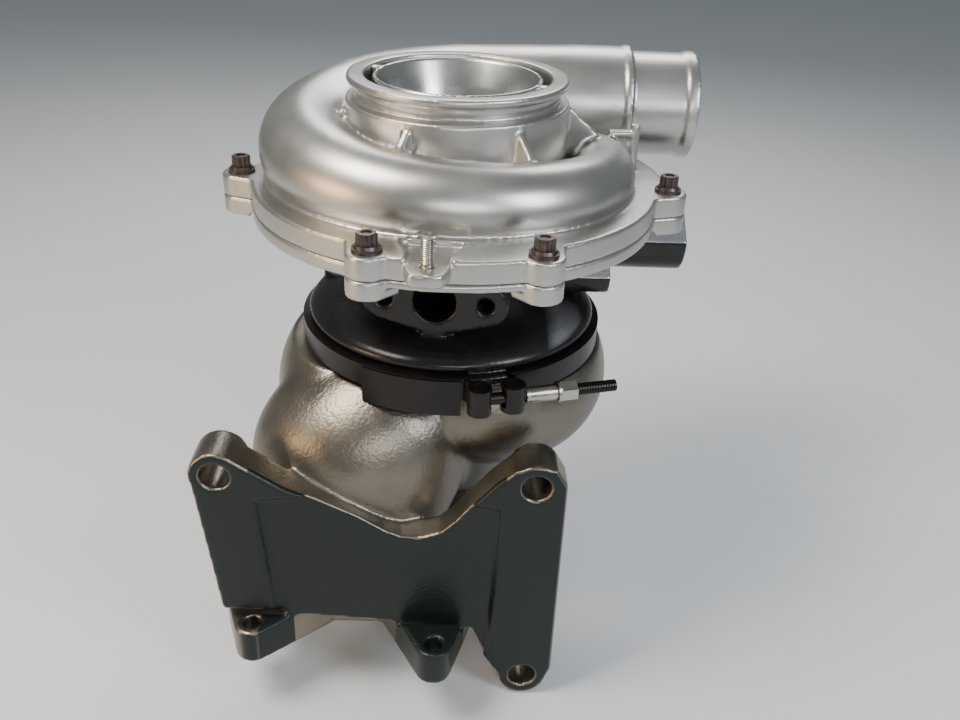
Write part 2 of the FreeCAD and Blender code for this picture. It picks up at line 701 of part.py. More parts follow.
def compressor_wheel():
    back = COMPRESSOR_BACK_Z
    hub = revolve((
        (SHAFT_R - 1.98, back), (14, back), (30, back + 0.6), (45.8, back + 0.6),
        (45.8, back + 1.4), (36, back + 3.0), (25, back + 8.0), (17.5, back + 15.0),
        (13, back + 24.0), (10.8, COMPRESSOR_NOSE_Z - 3), (10.2, COMPRESSOR_NOSE_Z),
        (SHAFT_R - 1.98, COMPRESSOR_NOSE_Z),
    ))
    full = (
        (back + 0.8, 44.0, COMPRESSOR_TIP_R, 0.0), (back + 4.6, 31.0, COMPRESSOR_TIP_R, 6.0),
        (back + 8.4, 23.5, 42.9, 12.0), (back + 13.4, 17.5, 38.0, 20.0),
        (back + 19.4, 14.0, 34.6, 30.0), (back + 26.0, 11.0, COMPRESSOR_EYE_R, 43.0),
        (COMPRESSOR_NOSE_Z - 3, 9.5, COMPRESSOR_EYE_R, 60.0),
    )
    splitter = full[:5]
    solids = [hub]
    step = 360.0 / COMPRESSOR_BLADES
    for index in range(COMPRESSOR_BLADES):
        solids.append(turned(blade(full, 1.3), index * step))
        solids.append(turned(blade(splitter, 1.3), (index + 0.5) * step))
    return fused(solids)


def turbine_wheel():
    back = TURBINE_BACK_Z
    exit_z = TURBINE_EXIT_Z
    hub = revolve((
        (0, back + 4), (10.4, back + 4), (10.4, back + 2), (14, back), (36, back),
        (38, back - 1.2), (27, back - 7), (18, back - 17), (13, back - 30),
        (11.5, exit_z + 2), (8.5, exit_z - 4), (0, exit_z - 4),
    ))
    nose = hexagon(11.0, exit_z - 10, exit_z - 3)
    stations = (
        (exit_z, 10.0, TURBINE_EXIT_R, 48.0), (exit_z + 8, 11.0, TURBINE_EXIT_R, 34.0),
        (exit_z + 18, 12.0, 36.3, 20.0), (exit_z + 27, 15.0, 37.6, 10.0),
        (exit_z + 32, 19.0, TURBINE_TIP_R, 5.0), (exit_z + 40, 27.0, TURBINE_TIP_R, 1.0),
        (back - 0.4, 34.0, TURBINE_TIP_R, 0.0),
    )
    solids = [hub, nose]
    for index in range(TURBINE_BLADES):
        solids.append(turned(blade(stations, 1.8), index * 360.0 / TURBINE_BLADES))
    return fused(solids)


def rotor_shaft():
    """Ground shaft, welded to the turbine wheel, stepped down for the compressor end."""
    profile = [
        (0, TURBINE_BACK_Z + 4), (10.4, TURBINE_BACK_Z + 4), (10.4, 193.0), (9.2, 193.0),
        (9.2, 195.0), (10.4, 195.0), (10.4, 199.0), (SHAFT_R, 200.5), (SHAFT_R, 216.0),
        (SHAFT_R - 0.4, 217.5), (SHAFT_R - 0.4, 233.5), (SHAFT_R, 235.0), (SHAFT_R, 250.2),
        (SHAFT_R - 1.5, 250.2), (SHAFT_R - 1.5, COMPRESSOR_BACK_Z),
        (SHAFT_R - 2.0, COMPRESSOR_BACK_Z), (SHAFT_R - 2.0, COMPRESSOR_NOSE_Z + 1),
    ]
    tip = threaded_rod(SHAFT_R - 2.3, COMPRESSOR_NOSE_Z + 1, COMPRESSOR_NOSE_Z + 11, 1.0)
    profile.append((0, COMPRESSOR_NOSE_Z + 1))
    return fused([revolve(profile), tip])


def compressor_nut():
    nut = hexagon(13.0, COMPRESSOR_NOSE_Z + 1.4, COMPRESSOR_NOSE_Z + 8.5)
    collar = cylinder(8.2, COMPRESSOR_NOSE_Z, COMPRESSOR_NOSE_Z + 1.6)
    return fused([nut, collar]).cut(cylinder(SHAFT_R - 1.98, 300, 330))


def heat_shield():
    """Dished sheet shield between the turbine wheel and the bearing housing."""
    return revolve((
        (13.5, 178.6), (40.0, 178.6), (44.5, 183.0), (50.0, 195.4), (66.0, 195.4),
        (66.0, 196.9), (49.0, 196.9), (43.2, 184.0), (39.4, 180.1), (13.5, 180.1),
    ))


# ---- turbine housing -------------------------------------------------------
def ellipse_wire(z, x, y, half_x, half_y):
    if half_x >= half_y:
        ellipse = Part.Ellipse(VEC(x, y, z), half_x, half_y)
        return Part.Wire(ellipse.toShape())
    ellipse = Part.Ellipse(VEC(x, y + half_y, z), VEC(x + half_x, y, z), VEC(x, y, z))
    return Part.Wire(ellipse.toShape())


def leg(shrink):
    wires = []
    for z, x, y, half_x, half_y in LEG:
        wires.append(ellipse_wire(z, x, y, half_x - shrink, half_y - shrink))
    return Part.makeLoft(wires, True)


def ear(centre, left_root, right_root):
    """Ear of the gas flange: a web from two root points, tangent to a round end."""
    x, y = centre
    tips = []
    for root, side in ((left_root, 1), (right_root, -1)):
        reach = math.hypot(root[0] - x, root[1] - y)
        heading = math.atan2(root[1] - y, root[0] - x)
        swing = heading + side * math.acos(GAS_EAR_R / reach)
        tips.append((x + GAS_EAR_R * math.cos(swing), y + GAS_EAR_R * math.sin(swing)))
    web = prism((left_root, tips[0], centre, tips[1], right_root),
                GAS_FLANGE_BOTTOM_Z, GAS_FLANGE_TOP_Z)
    end = cylinder(GAS_EAR_R, GAS_FLANGE_BOTTOM_Z, GAS_FLANGE_TOP_Z, x, y)
    return [web, end]


def gas_flange():
    body = prism(((-112, -89.5), (12, -89.5), (-2, -78), (-20, -52), (-36, -40), (-60, -30),
                  (-112, -44)), GAS_FLANGE_BOTTOM_Z, GAS_FLANGE_TOP_Z)
    solids = [body]
    solids += ear(GAS_HOLE_LEFT, (-127, -91), (-66, -91))
    solids += ear(GAS_HOLE_RIGHT, (-36, -91), (17, -91))
    solids += ear(GAS_HOLE_REAR, (-62, -34), (-114, -62))
    return solids


def mounting_plate():
    """Three-lugged plate at the front that carries the whole turbocharger."""
    lx, lz = PLATE_HOLE_LEFT
    rx, rz = PLATE_HOLE_RIGHT
    bx, bz = PLATE_HOLE_LOW
    outline = (
        (lx - 13.8, lz + 3), (lx + 6, lz + 13.0), (-86.6, 148.0), (-68, 139.5), (-47.7, 129.0),
        (-33, 119.5), (-23.7, 115.5), (-13, 115.0), (-3, 118.5), (5, 126.5), (12, 136.0),
        (26, 153.0), (rx - 11, rz + 11), (rx + 10, rz + 12), (rx + 16.5, rz + 2), (bx + 17, bz + 6),
        (bx + 13, bz - 5), (bx - 9, bz - 10), (bx - 14.5, bz + 1), (24, 30), (16.6, 49),
        (-25, 53), (-72, 56.5), (-86, 57), (-94.7, 62.5), (-124.5, 63),
    )
    plate = plate_prism(outline, PLATE_FACE_Y, PLATE_BACK_Y)
    lugs = []
    for x, z in (PLATE_HOLE_LEFT, PLATE_HOLE_RIGHT, PLATE_HOLE_LOW):
        lugs.append(rod(PLATE_LUG_R, VEC(x, PLATE_FACE_Y, z), VEC(x, PLATE_LUG_BACK_Y, z)))
    return [plate] + lugs


def plate_recess():
    """Shallow step that leaves a pad down each side of the plate's face."""
    outline = ((-101, 139.5), (-68, 139.5), (-47.7, 129.0), (-33, 119.5), (-23.7, 115.5),
               (-13, 115.0), (-3, 118.5), (5, 126.5), (12, 136.0), (29.3, 136.5), (26.3, 31),
               (24, 30), (16.6, 49), (-25, 53), (-72, 56.5), (-86, 57), (-94.7, 62.5))
    stretched = [(x, z + (3 if z > 110 and x > -70 and x < 20 else 0)) for x, z in outline]
    return plate_prism(stretched, PLATE_FACE_Y - 1, PLATE_FACE_Y + PLATE_RECESS)


def saddle_space():
    """Room for the clamp's saddle: a slope that falls towards the front."""
    slab = box((-200, -200, 0), (200, 0, 60))
    slab.rotate(VEC(0, 0, 0), VEC(1, 0, 0), 12.0)
    slab.translate(VEC(0, -88, SADDLE_LOW_Z - 1.2))
    return turned(slab, SADDLE_AZ).cut(cylinder(BAND_R - 1, 150, 280))


def turbine_housing():
    core = revolve((
        (0, 105), (OUTLET_PIPE_R + 6, 105), (58, 118), (66, 140), (70, 170), (72, 186),
        (V_FLANGE_R - 4.5, 189), (79.5, 192.8), (V_FLANGE_R, 194.6),
        (V_FLANGE_R, JOINT_Z - 0.1), (0, JOINT_Z - 0.1),
    ))
    # nothing of the scroll or the leg stands where the clamp goes
    volute = fused([Part.makeLoft(scroll_wires(TURBINE_SCROLL, 0.0), True), leg(0.0)])
    clamp_space = box((-150, -150, CLAMP_SPACE_Z), (150, 150, CLAMP_SPACE_Z + 60))
    solids = [core, volute.cut([clamp_space, saddle_space()])]
    solids.append(cylinder(OUTLET_PIPE_R, 0, 110))
    solids.append(cylinder(EXHAUST_LIP_R, 0, EXHAUST_LIP_H))
    solids += gas_flange() + mounting_plate()
    body = fused(solids)
    tools = []
    inner = [(a, r + 13.5, z, s - 22.0) for a, r, z, s in TURBINE_SCROLL[1:-1]]
    tools.append(Part.makeLoft(scroll_wires(inner, 0.0), True))
    tools.append(leg(TURBINE_WALL + 3))
    tools.append(rod(20.0, VEC(-57, -62, 150), VEC(-66, -36, 157)))
    port = box((GAS_PORT_X - 27, GAS_PORT_Y - 15, 20), (GAS_PORT_X + 27, GAS_PORT_Y + 15, 70))
    tools.append(port)
    tip = TURBINE_TIP_R + SHROUD_GAP
    exit_r = TURBINE_EXIT_R + SHROUD_GAP
    wheel_space = revolve((
        (0, -1), (OUTLET_PIPE_BORE_R, -1), (OUTLET_PIPE_BORE_R, 95), (exit_r, 118),
        (exit_r, 146), (exit_r + 0.6, 151), (38.4, 156), (tip, 161.2), (60, 161.2),
        (60, 175), (46, 178.0), (52.5, 193.8), (66.3, 195.0), (66.3, 199), (0, 199),
    ))
    tools.append(wheel_space)
    for x, y in (GAS_HOLE_LEFT, GAS_HOLE_RIGHT, GAS_HOLE_REAR):
        tools.append(cylinder(GAS_HOLE_R, 30, 60, x, y))
    for x, z in (PLATE_HOLE_LEFT, PLATE_HOLE_RIGHT, PLATE_HOLE_LOW):
        tools.append(rod(PLATE_HOLE_R, VEC(x, PLATE_FACE_Y - 5, z), VEC(x, PLATE_BACK_Y + 5, z)))
    tools.append(plate_recess())
    return body.cut(tools)


# ---- clamp -----------------------------------------------------------------
def clamp_points():
    """Centres of the two loops and the clamp bolt's direction."""
    along = VEC(T_BOLT_DIRECTION[0], T_BOLT_DIRECTION[1], 0)
    along.normalize()
    left = VEC(LEFT_LOOP[0], LEFT_LOOP[1], T_BOLT_Z)
    return left, left + along * LOOP_SPACING, along


def vband_segments():
    """Three V-section shoes that pull the two flanges together."""
    profile = ((80.2, BAND_LOW_Z), (BAND_R, BAND_LOW_Z), (BAND_R, BAND_HIGH_Z),
               (80.8, BAND_HIGH_Z), (80.8, 203.5), (84.4, 201.9), (84.4, 194.1), (80.2, 192.3))
    full = revolve(profile)
    wedge = []
    for start, end in ((22, 132), (137, 247), (252, 367)):
        wedge.append(full.common(sector(95, 60, 180, 215, start, end)))
    return Part.makeCompound(wedge)


def loop(centre, low, high):
    tube = cylinder(LOOP_R, low, high, centre.x, centre.y)
    return tube.cut(cylinder(LOOP_BORE_R, low - 1, high + 1, centre.x, centre.y))


def vband_strap():
    """Strap round the shoes, rolled into a loop at each end."""
    left, right, along = clamp_points()
    outer = BAND_R + STRAP_T
    band = sector(outer, BAND_R, BAND_LOW_Z + 0.5, BAND_HIGH_Z - 0.5, 22.5, 366.0)
    solids = [band, loop(left, LOOP_LOW_Z, LOOP_HIGH_Z)]
    solids.append(loop(right, LOOP_LOW_Z, LOOP_HIGH_Z))
    for centre, azimuth in ((left, 5.0), (right, 23.5)):
        foot = polar(BAND_R + STRAP_T / 2, azimuth)
        reach = VEC(centre.x, centre.y, 0) - foot
        tab = box((0, -STRAP_T / 2, BAND_LOW_Z + 0.5),
                  (reach.Length - LOOP_BORE_R - 0.2, STRAP_T / 2, BAND_HIGH_Z - 0.5))
        tab.rotate(VEC(0, 0, 0), UP, math.degrees(math.atan2(reach.y, reach.x)))
        tab.translate(foot)
        solids.append(tab)
    band = fused(solids)
    slot = rod(T_BOLT_R + 0.6, left + along * 2, right + along * 20)
    window = box((-1, -4.2, -4.2), (60, 4.2, 4.2))
    window.rotate(VEC(0, 0, 0), UP, math.degrees(math.atan2(along.y, along.x)))
    window.translate(left)
    keep_out = cylinder(BAND_R, 180, 215)
    return band.cut([slot, window, keep_out])


def vband_saddle():
    """Wider outer plate spot-welded on the strap beside the bolt."""
    outer = BAND_R + 2 * STRAP_T
    return sector(outer, BAND_R + STRAP_T, SADDLE_LOW_Z, SADDLE_HIGH_Z, -32, 4.0)


def t_bolt():
    """Clamp bolt whose cross head turns in the left loop."""
    left, right, along = clamp_points()
    head = cylinder(LOOP_BORE_R - 0.1, T_BOLT_Z - 6.5, T_BOLT_Z + 6.5, left.x, left.y)
    shank = rod(T_BOLT_R, left, left + along * T_BOLT_LENGTH)
    grooves = []
    for step in range(14):
        start = left + along * (T_BOLT_LENGTH - 2.0 - 1.5 * step)
        groove = rod(T_BOLT_R + 1, start, start + along * 0.6)
        grooves.append(groove.cut(rod(T_BOLT_R - 0.5, start - along, start + along * 2)))
    return fused([head, shank]).cut(grooves)


def trunnion():
    """Cross pin in the right loop that the clamp bolt passes through."""
    left, right, along = clamp_points()
    pin = cylinder(LOOP_BORE_R - 0.1, T_BOLT_Z - 8.0, T_BOLT_Z + 8.0, right.x, right.y)
    return pin.cut(rod(T_BOLT_R + 0.25, right - along * 10, right + along * 10))


def clamp_sleeve():
    """Spacer tube between the trunnion and the nut."""
    left, right, along = clamp_points()
    start = right + along * (LOOP_R + 0.3)
    tube = rod(4.2, start, start + along * 17)
    return tube.cut(rod(T_BOLT_R + 0.1, start - along, start + along * 20))


def clamp_nut():
    left, right, along = clamp_points()
    start = right + along * (LOOP_R + 17.5)
    nut = hexagon(10.0, 1.2, 10.5)
    collar = cylinder(5.6, 0, 1.6)
    body = fused([nut, collar]).cut(cylinder(T_BOLT_R + 0.02, -1, 12))
    body.rotate(VEC(0, 0, 0), VEC(0, 1, 0), 90)
    body.rotate(VEC(0, 0, 0), UP, math.degrees(math.atan2(along.y, along.x)))
    body.translate(start)
    return body


NODES = {
    "compressor_housing": compressor_housing,
    "inlet_shroud_ring": inlet_shroud_ring,
    "compressor_backplate": compressor_backplate,
    "backplate_seal": backplate_seal,
    "dowel_pin": dowel_pin,
    "cover_bolts": cover_bolts,
    "cover_washers": cover_washers,
    "tab_stud": tab_stud,
    "bearing_housing": bearing_housing,
    "backplate_bolts": backplate_bolts,
    "journal_bearing_turbine_side": lambda: journal_bearing(204.6),
    "journal_bearing_compressor_side": lambda: journal_bearing(235.6),
    "bearing_retaining_rings": retaining_rings,
    "thrust_bearing": thrust_bearing,
    "thrust_collar": thrust_collar,
    "oil_deflector": oil_deflector,
    "oil_slinger": oil_slinger,
    "seal_bush": seal_bush,
    "compressor_piston_ring": compressor_piston_ring,
    "turbine_piston_ring": turbine_piston_ring,
    "compressor_wheel": compressor_wheel,
    "compressor_nut": compressor_nut,
    "rotor_shaft": rotor_shaft,
    "turbine_wheel": turbine_wheel,
    "heat_shield": heat_shield,
    "turbine_housing": turbine_housing,
    "vband_segments": vband_segments,
    "vband_strap": vband_strap,
    "vband_saddle": vband_saddle,
    "t_bolt": t_bolt,
    "trunnion": trunnion,
    "clamp_sleeve": clamp_sleeve,
    "clamp_nut": clamp_nut,
}

os.makedirs("parts", exist_ok=True)
for node, make in NODES.items():
    shape = make()
    shape.exportStep("parts/" + node + ".step")
    print(node, len(shape.Solids), round(shape.Volume), shape.isValid())
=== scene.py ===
import json
import math

import bpy
from mathutils import Matrix, Vector


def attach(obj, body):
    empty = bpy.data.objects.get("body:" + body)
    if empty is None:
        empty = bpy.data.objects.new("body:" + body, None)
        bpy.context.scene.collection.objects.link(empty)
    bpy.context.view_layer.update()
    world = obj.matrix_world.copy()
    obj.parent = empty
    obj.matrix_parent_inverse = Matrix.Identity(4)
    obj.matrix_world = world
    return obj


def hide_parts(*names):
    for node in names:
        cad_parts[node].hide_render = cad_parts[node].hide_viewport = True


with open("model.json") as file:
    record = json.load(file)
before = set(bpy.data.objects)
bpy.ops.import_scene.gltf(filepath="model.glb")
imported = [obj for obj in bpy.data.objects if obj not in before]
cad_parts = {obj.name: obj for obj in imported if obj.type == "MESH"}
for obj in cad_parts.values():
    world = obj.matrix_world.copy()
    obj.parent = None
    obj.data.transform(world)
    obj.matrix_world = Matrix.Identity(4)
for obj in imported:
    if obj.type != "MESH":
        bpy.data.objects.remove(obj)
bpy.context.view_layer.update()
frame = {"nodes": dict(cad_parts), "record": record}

MM = 0.001
nodes = frame["nodes"]

# ---- camera, floor and light -------------------------------------------------
CAMERA_PLACE = Vector((0.0, -515.0, 454.0)) * MM
CAMERA_DOWN = math.radians(29.07)
CAMERA_YAW = math.radians(2.04)
CAMERA_ROLL = math.radians(2.58)
LENS = 35.85
SENSOR_WIDTH = 36
CLIP_START = 0.01
FLOOR_SIZE = 9.0
FLOOR_DROP = 0.0004
AIR_COLOUR = "#C9D3DA"
AIR_STRENGTH = 0.34
# the middle of the part, which the two main lights point at
PART_MIDDLE = (0, 0, 0.22)
# sockets of the colour mix node
MIX_A = 6
MIX_B = 7
MIX_RESULT = 2
# how many finer layers each noise pattern has
GRAIN_LAYERS = 3.0
PATCH_LAYERS = 5.0
MIST_LAYERS = 2.0
# how far the gloss falls below and rises above a finish's roughness
GLOSSIER = 0.05
DULLER = 0.07
# the part of a noise pattern's range that its patches fill
PATCH_LOW = 0.3
PATCH_HIGH = 0.7
# how squarely a surface must look along a direction to count as facing it
FACING_START = 0.80
FACING_FULL = 0.95
# painted shade on the mounting plate's front faces, a dark colour in place of their shadow
# and dark reflection; lengths in millimetres
FACE_NORMAL = (0.0, -1.0, 0.0)
FACE_SHADE_FROM_Y = -101.5
FACE_SHADE_TO_Y = -105.0
STEP_FROM_Y = -106.85
STEP_TO_Y = -107.1
STEP_LEFT_X = -103.0
STEP_RIGHT_X = 31.0
STEP_FADE_MM = 1.0
# dark colour of the painted shade on the plate's front faces
FACE_SHADE_COLOUR = "#1C2322"
FACE_SHADE_METALLIC = 0.45
# the side bosses' upper flats, and the paint mist on them
FLAT_NORMAL = (0.0, -0.6, 0.8)
MIST_MM = 0.9
MIST_COLOUR = "#C2C4C6"
MIST_METALLIC = 0.75
MIST_STARTS = 0.24
MIST_COVERS = 0.44
OVERSPRAY_FROM_X = 52.0
OVERSPRAY_TO_X = 60.0
# points of a mesh nearer than this are one point
DOUBLED = 1e-6
# how far each smoothing pass moves a point towards its neighbours' middle
SMOOTHING = 0.5
# the turbine housing's rounded body: where each side of it starts, and over
# how many millimetres it fades in
BEHIND_PLATE_Y = -84.0
BEHIND_PLATE_FADE = 8.0
ABOVE_FLANGE_Z = 62.0
ABOVE_FLANGE_FADE = 10.0
BELOW_JOINT_Z = 187.0
BELOW_JOINT_FADE = 5.0
OFF_PIPE_R = 50.0
OFF_PIPE_FADE = 5.0


def linear(hex_colour, alpha=1.0):
    """sRGB hex to the linear values that Blender's shaders take."""
    values = []
    for start in (1, 3, 5):
        channel = int(hex_colour[start:start + 2], 16) / 255
        if channel <= 0.04045:
            values.append(channel / 12.92)
        else:
            values.append(((channel + 0.055) / 1.055) ** 2.4)
    return (*values, alpha)


def make_camera():
    """Looks down on the part from the front, turned a little and rolled a little."""
    forward = Vector((math.sin(CAMERA_YAW) * math.cos(CAMERA_DOWN),
                      math.cos(CAMERA_YAW) * math.cos(CAMERA_DOWN),
                      -math.sin(CAMERA_DOWN)))
    level = Vector((math.cos(CAMERA_YAW), -math.sin(CAMERA_YAW), 0))
    above = level.cross(forward)
    right = level * math.cos(CAMERA_ROLL) + above * math.sin(CAMERA_ROLL)
    up = above * math.cos(CAMERA_ROLL) - level * math.sin(CAMERA_ROLL)
    data = bpy.data.cameras.new("camera")
    data.lens = LENS
    data.sensor_width = SENSOR_WIDTH
    data.clip_start = CLIP_START
    camera = bpy.data.objects.new("camera", data)
    turn = Matrix((right, up, -forward)).transposed()
    camera.matrix_world = Matrix.Translation(CAMERA_PLACE) @ turn.to_4x4()
    bpy.context.scene.collection.objects.link(camera)
    bpy.context.scene.camera = camera


def soft_light(name, place, target, size, power, colour):
    """A large soft box: size is its width and height in metres, power its watts."""
    data = bpy.data.lights.new(name, "AREA")
    data.shape = "RECTANGLE"
    data.size, data.size_y = size
    data.energy = power
    data.color = linear(colour)[:3]
    light = bpy.data.objects.new(name, data)
    light.location = place
    aim = Vector(target) - Vector(place)
    light.rotation_euler = aim.to_track_quat("-Z", "Y").to_euler()
    bpy.context.scene.collection.objects.link(light)


# ---- materials ---------------------------------------------------------------
def add(tree, kind, settings=None, links=None):
    """Add one node; settings are sockets or attributes, links are socket: source."""
    node = tree.nodes.new(kind)
    for name, value in (settings or {}).items():
        if name in node.inputs:
            node.inputs[name].default_value = value
        else:
            setattr(node, name, value)
    for name, source in (links or {}).items():
        tree.links.new(source, node.inputs[name])
    return node


def new_material(name, settings):
    material = bpy.data.materials.new(name)
    material.use_nodes = True
    tree = material.node_tree
    shader = tree.nodes["Principled BSDF"]
    for socket, value in settings.items():
        shader.inputs[socket].default_value = value
    return material, tree, shader


def finish(name, light_hex, dark_hex, metallic, roughness, grain_mm, depth_mm, patch_mm):
    """Metal finish: grain in the bump, soft patches in colour and gloss."""
    material, tree, shader = new_material(name, {"Metallic": metallic})
    place = add(tree, "ShaderNodeTexCoord").outputs["Object"]
    fine = add(tree, "ShaderNodeTexNoise",
               {"Scale": 1 / (grain_mm * MM), "Detail": GRAIN_LAYERS}, {"Vector": place})
    patch = add(tree, "ShaderNodeTexNoise",
                {"Scale": 1 / (patch_mm * MM), "Detail": PATCH_LAYERS}, {"Vector": place})
    tint = add(tree, "ShaderNodeMix", {"data_type": "RGBA"},
               {"Factor": patch.outputs["Fac"]})
    tint.inputs[MIX_A].default_value = linear(dark_hex)
    tint.inputs[MIX_B].default_value = linear(light_hex)
    tree.links.new(tint.outputs[MIX_RESULT], shader.inputs["Base Color"])
    gloss = add(tree, "ShaderNodeMapRange",
                {"From Min": PATCH_LOW, "From Max": PATCH_HIGH,
                 "To Min": roughness - GLOSSIER, "To Max": roughness + DULLER},
                {"Value": patch.outputs["Fac"]})
    tree.links.new(gloss.outputs["Result"], shader.inputs["Roughness"])
    bump = add(tree, "ShaderNodeBump", {"Strength": 1.0, "Distance": depth_mm * MM},
               {"Height": fine.outputs["Fac"]})
    tree.links.new(bump.outputs["Normal"], shader.inputs["Normal"])
    return material


def mix_in(material, mask, hex_colour, metallic):
    """Lay a second colour over a finish where the mask says."""
    tree = material.node_tree
    shader = tree.nodes["Principled BSDF"]
    below = shader.inputs["Base Color"].links[0].from_socket
    blend = add(tree, "ShaderNodeMix", {"data_type": "RGBA"}, {"Factor": mask})
    tree.links.new(below, blend.inputs[MIX_A])
    blend.inputs[MIX_B].default_value = linear(hex_colour)
    tree.links.new(blend.outputs[MIX_RESULT], shader.inputs["Base Color"])
    shine = add(tree, "ShaderNodeMapRange",
                {"To Min": shader.inputs["Metallic"].default_value, "To Max": metallic},
                {"Value": mask})
    tree.links.new(shine.outputs["Result"], shader.inputs["Metallic"])


def ramp(tree, source, start, full):
    """Rises from 0 at start to 1 at full; full may lie below start."""
    if full < start:
        falling = add(tree, "ShaderNodeMapRange",
                      {"From Min": full, "From Max": start, "To Min": 1.0, "To Max": 0.0},
                      {"Value": source})
        return falling.outputs["Result"]
    rising = add(tree, "ShaderNodeMapRange", {"From Min": start, "From Max": full},
                 {"Value": source})
    return rising.outputs["Result"]


def facing(tree, normal, direction):
    """1 where the surface looks along a direction, 0 where it looks elsewhere."""
    dot = add(tree, "ShaderNodeVectorMath", {"operation": "DOT_PRODUCT"}, {"Vector": normal})
    dot.inputs[1].default_value = direction
    return ramp(tree, dot.outputs["Value"], FACING_START, FACING_FULL)


def combine(tree, operation, first, second):
    """One product, greater value or the like of two values."""
    node = add(tree, "ShaderNodeMath", {"operation": operation})
    tree.links.new(first, node.inputs[0])
    tree.links.new(second, node.inputs[1])
    return node.outputs["Value"]


def product(tree, first, second):
    return combine(tree, "MULTIPLY", first, second)


def add_painted_face_shade(material):
    """Paints shade on the plate's flat face, a dark colour in place of its shadow and dark
    reflection, while its cast edges stay bright.
    """
    tree = material.node_tree
    coordinates = add(tree, "ShaderNodeTexCoord")
    axes = add(tree, "ShaderNodeSeparateXYZ", links={"Vector": coordinates.outputs["Object"]})
    front = facing(tree, coordinates.outputs["Normal"], FACE_NORMAL)
    near = ramp(tree, axes.outputs["Y"], FACE_SHADE_FROM_Y * MM, FACE_SHADE_TO_Y * MM)
    # the painted shade also lies in the corners of the shallow recess, darkening them as
    # shade would
    deep = ramp(tree, axes.outputs["Y"], STEP_FROM_Y * MM, STEP_TO_Y * MM)
    left = STEP_LEFT_X * MM
    right = STEP_RIGHT_X * MM
    soft = STEP_FADE_MM * MM
    inside = product(tree, ramp(tree, axes.outputs["X"], left - soft, left),
                     ramp(tree, axes.outputs["X"], right + soft, right))
    painted_shade = combine(tree, "MAXIMUM", product(tree, front, near), product(tree, deep, inside))
    # lays the painted shade over the silver paint
    mix_in(material, painted_shade, FACE_SHADE_COLOUR, FACE_SHADE_METALLIC)


def add_overspray(material):
    """Silver paint mist on the upper flats of the two side bosses."""
    tree = material.node_tree
    coordinates = add(tree, "ShaderNodeTexCoord")
    axes = add(tree, "ShaderNodeSeparateXYZ", links={"Vector": coordinates.outputs["Object"]})
    flat = facing(tree, coordinates.outputs["Normal"], FLAT_NORMAL)
    outside = ramp(tree, axes.outputs["X"], OVERSPRAY_FROM_X * MM, OVERSPRAY_TO_X * MM)
    mist = add(tree, "ShaderNodeTexNoise",
               {"Scale": 1 / (MIST_MM * MM), "Detail": MIST_LAYERS},
               {"Vector": coordinates.outputs["Object"]})
    drops = ramp(tree, mist.outputs["Fac"], MIST_STARTS, MIST_COVERS)
    where = product(tree, product(tree, flat, outside), drops)
    mix_in(material, where, MIST_COLOUR, MIST_METALLIC)


def make_materials():
    """One finish for each slot of the record, and one for the clamp band and the floor."""
    made = {}
    # satin silver with broad soft highlights and a barely visible blasted grain
    made["cast_aluminium"] = finish("bead_blasted_aluminium", "#C2BFB9", "#A9A7A3",
                                    0.93, 0.33, 0.7, 0.02, 42)
    # brighter and tighter highlights, as left by a lathe
    made["machined_aluminium"] = finish("turned_aluminium", "#CBC9C5", "#B5B3B0",
                                        1.0, 0.26, 0.5, 0.006, 30)
    # deep black with soft reflections that show the dome's curve
    made["black_cast_iron"] = finish("black_paint_on_iron", "#2A2728", "#141415",
                                     0.35, 0.26, 1.6, 0.03, 26)
    add_overspray(made["black_cast_iron"])
    # pewter silver over a coarse sand-cast skin that breaks the highlights up
    made["silver_cast_iron"] = finish("silver_paint_on_cast_iron", "#958D7F", "#5A564F",
                                      0.92, 0.33, 1.9, 0.24, 30)
    # the plate's front faces and recess corners get painted shade
    add_painted_face_shade(made["silver_cast_iron"])
    # brown black, with dull bright edges
    made["black_oxide_steel"] = finish("black_oxide_steel", "#6A5F5C", "#332B2A",
                                       0.85, 0.36, 0.9, 0.02, 5)
    # near black band steel, slightly shinier than the iron
    made["blackened_band_steel"] = finish("blackened_band_steel", "#2B2726", "#171516",
                                          0.55, 0.33, 1.2, 0.015, 14)
    # pale grey with a faint yellow cast
    made["zinc_steel"] = finish("zinc_plated_steel", "#C6C1B2", "#9E9A8E",
                                1.0, 0.28, 0.6, 0.01, 5)
    # clean bright bars with sharp reflections
    made["ground_steel"] = finish("ground_steel", "#C4C4C4", "#B0B0B0",
                                  1.0, 0.2, 0.4, 0.005, 12)
    # yellow brown, only seen at the bearings
    made["bearing_bronze"] = finish("bearing_bronze", "#B98A4A", "#9C713A",
                                    1.0, 0.3, 0.5, 0.008, 8)
    # brown grey, dulled by heat
    made["nickel_alloy"] = finish("heat_tinted_nickel_alloy", "#7C736A", "#5C5148",
                                  1.0, 0.4, 0.6, 0.03, 16)
    # smooth warm grey sheet
    made["pressed_sheet"] = finish("pressed_stainless_sheet", "#A9A49C", "#8C857B",
                                   1.0, 0.32, 0.5, 0.008, 14)
    # matt black line at the joint
    made["seal_rubber"] = finish("black_seal_rubber", "#151515", "#101010",
                                 0.0, 0.6, 0.5, 0.02, 9)
    # even pale ground that carries the soft shadow
    made["floor"] = finish("pale_studio_floor", "#D3D6D8", "#CED1D3",
                           0.0, 0.75, 2.0, 0.01, 300)
    return made


materials = make_materials()
slot_of = {row["node"]: row["material_slot"] for row in frame["record"]["subparts"]}


def dress(piece, slot):
    """Give a piece one finish in place of the one it has."""
    piece.data.materials.clear()
    piece.data.materials.append(materials[slot])


for name, node in nodes.items():
    dress(node, slot_of[name])
# the clamp is blacker than the other steel
for name in ("vband_strap", "vband_saddle", "vband_segments", "trunnion", "t_bolt"):
    dress(nodes[name], "blackened_band_steel")


